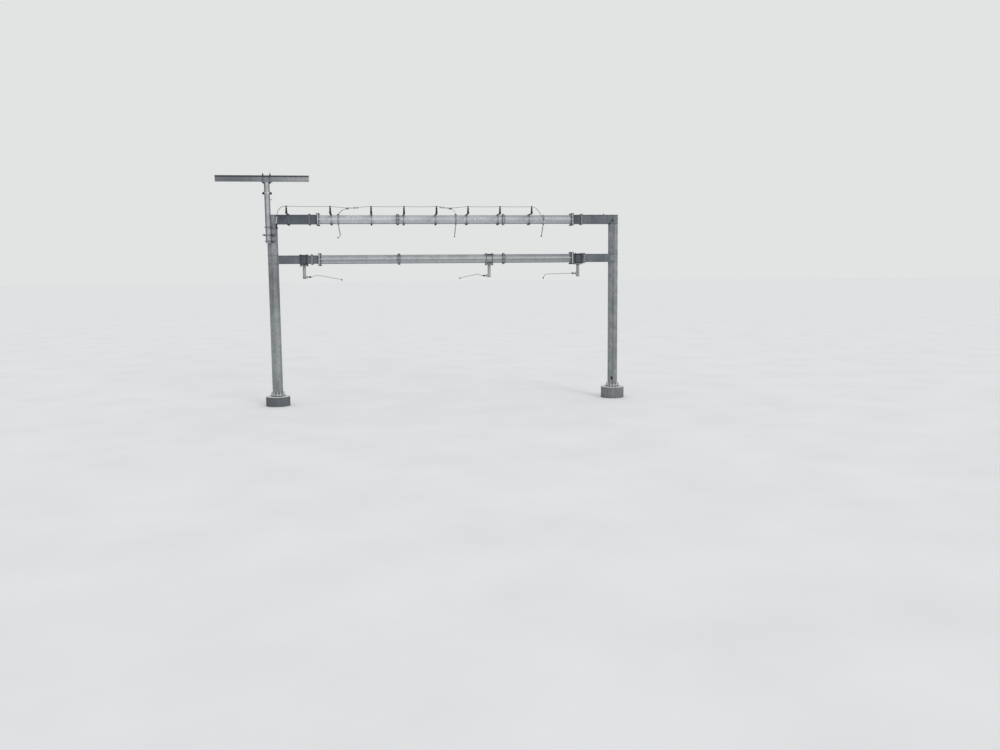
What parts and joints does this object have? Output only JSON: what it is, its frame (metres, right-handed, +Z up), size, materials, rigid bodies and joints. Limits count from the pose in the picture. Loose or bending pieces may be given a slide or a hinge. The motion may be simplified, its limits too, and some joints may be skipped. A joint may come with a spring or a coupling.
{
  "type": "railway catenary portal mast",
  "caption": "Two-legged steel catenary portal with bolted octagonal crosspieces, drop posts with swinging steady arms, messenger hangers and a feeder cable on stand-off insulators.",
  "frame": {"origin": "centre of the left footing's underside at ground level", "axes": "+X along the crosspieces to the right column, +Y along the track away from the side that carries the feeder cable, +Z up"},
  "size_m": [18.05, 1.4209, 10.134],
  "materials": {
    "concrete": "rough, pale on top with rust streaks",
    "column_steel": "weathered galvanised steel, mottled",
    "arm_steel": "dark blue-grey, matt",
    "beam_steel": "light galvanised steel, streaked",
    "clamp_steel": "bright galvanised steel",
    "dark_iron": "dark weathered iron",
    "fitting_steel": "dull galvanised steel",
    "insulator": "dark brown glaze, dusty",
    "hanger_insulator": "grey silicone sheds, dusty",
    "cable": "weathered stranded aluminium"
  },
  "bodies": {
    "portal": {"left_footing": "concrete", "right_footing": "concrete", "base_plates": "clamp_steel", "anchor_bolts": "clamp_steel", "left_column": "column_steel", "right_column": "column_steel", "left_upper_arm": "arm_steel", "right_upper_arm": "arm_steel", "left_lower_arm": "arm_steel", "right_lower_arm": "arm_steel", "upper_beam_left": "beam_steel", "upper_beam_middle": "beam_steel", "upper_beam_right": "beam_steel", "lower_beam_left": "beam_steel", "lower_beam_middle": "beam_steel", "lower_beam_right": "beam_steel", "arm_clamps": "clamp_steel", "extension_post": "beam_steel", "extension_clamps": "clamp_steel", "extension_packers": "fitting_steel", "crossarm": "beam_steel", "crossarm_saddle": "fitting_steel", "crossarm_clamps": "dark_iron", "stay_band": "clamp_steel", "stay_lugs": "dark_iron", "step_peg": "dark_iron", "wire_anchor": "dark_iron", "drop_clamps": "dark_iron", "drop_posts": "beam_steel", "hanger_straps": "fitting_steel", "insulator_brackets": "dark_iron", "feeder_insulators": "insulator", "feeder_cable": "cable", "feeder_lugs": "clamp_steel", "feeder_taps": "cable", "tap_fittings": "dark_iron"},
    "left_swivel": {"left_arm_swivel": "dark_iron"},
    "left_arm": {"left_arm_insulator": "insulator", "left_steady_arm": "fitting_steel", "left_wire_clip": "dark_iron"},
    "middle_swivel": {"middle_arm_swivel": "dark_iron"},
    "middle_arm": {"middle_arm_insulator": "insulator", "middle_steady_arm": "fitting_steel", "middle_wire_clip": "dark_iron"},
    "right_swivel": {"right_arm_swivel": "dark_iron"},
    "right_arm": {"right_arm_insulator": "insulator", "right_steady_arm": "fitting_steel", "right_wire_clip": "dark_iron"},
    "left_messenger_hanger": {"left_hanger": "hanger_insulator", "left_messenger_clamp": "dark_iron"},
    "middle_messenger_hanger": {"middle_hanger": "hanger_insulator", "middle_messenger_clamp": "dark_iron"},
    "right_messenger_hanger": {"right_hanger": "hanger_insulator", "right_messenger_clamp": "dark_iron"}
  },
  "joints": [
    {"name": "left_swivel_turn", "type": "hinge", "parent": "portal", "child": "left_swivel", "pos_m": [1.426, 0, 5.675], "axis": [0, 0, 1], "range_deg": [-60, 60]},
    {"name": "left_arm_uplift", "type": "hinge", "parent": "left_swivel", "child": "left_arm", "pos_m": [1.472, 0, 5.675], "axis": [0, -1, 0], "range_deg": [0, 15]},
    {"name": "middle_swivel_turn", "type": "hinge", "parent": "portal", "child": "middle_swivel", "pos_m": [9.402, 0, 5.672], "axis": [0, 0, 1], "range_deg": [-60, 60]},
    {"name": "middle_arm_uplift", "type": "hinge", "parent": "middle_swivel", "child": "middle_arm", "pos_m": [9.356, 0, 5.672], "axis": [0, 1, 0], "range_deg": [0, 15]},
    {"name": "right_swivel_turn", "type": "hinge", "parent": "portal", "child": "right_swivel", "pos_m": [13.484, 0, 5.747], "axis": [0, 0, 1], "range_deg": [-60, 60]},
    {"name": "right_arm_uplift", "type": "hinge", "parent": "right_swivel", "child": "right_arm", "pos_m": [13.438, 0, 5.747], "axis": [0, 1, 0], "range_deg": [0, 15]},
    {"name": "left_hanger_swing", "type": "hinge", "parent": "portal", "child": "left_messenger_hanger", "pos_m": [2.854, 0, 7.9355], "axis": [1, 0, 0], "range_deg": [-30, 30]},
    {"name": "middle_hanger_swing", "type": "hinge", "parent": "portal", "child": "middle_messenger_hanger", "pos_m": [8.022, 0, 7.9355], "axis": [1, 0, 0], "range_deg": [-30, 30]},
    {"name": "right_hanger_swing", "type": "hinge", "parent": "portal", "child": "right_messenger_hanger", "pos_m": [11.995, 0, 7.9355], "axis": [1, 0, 0], "range_deg": [-30, 30]}
  ]
}
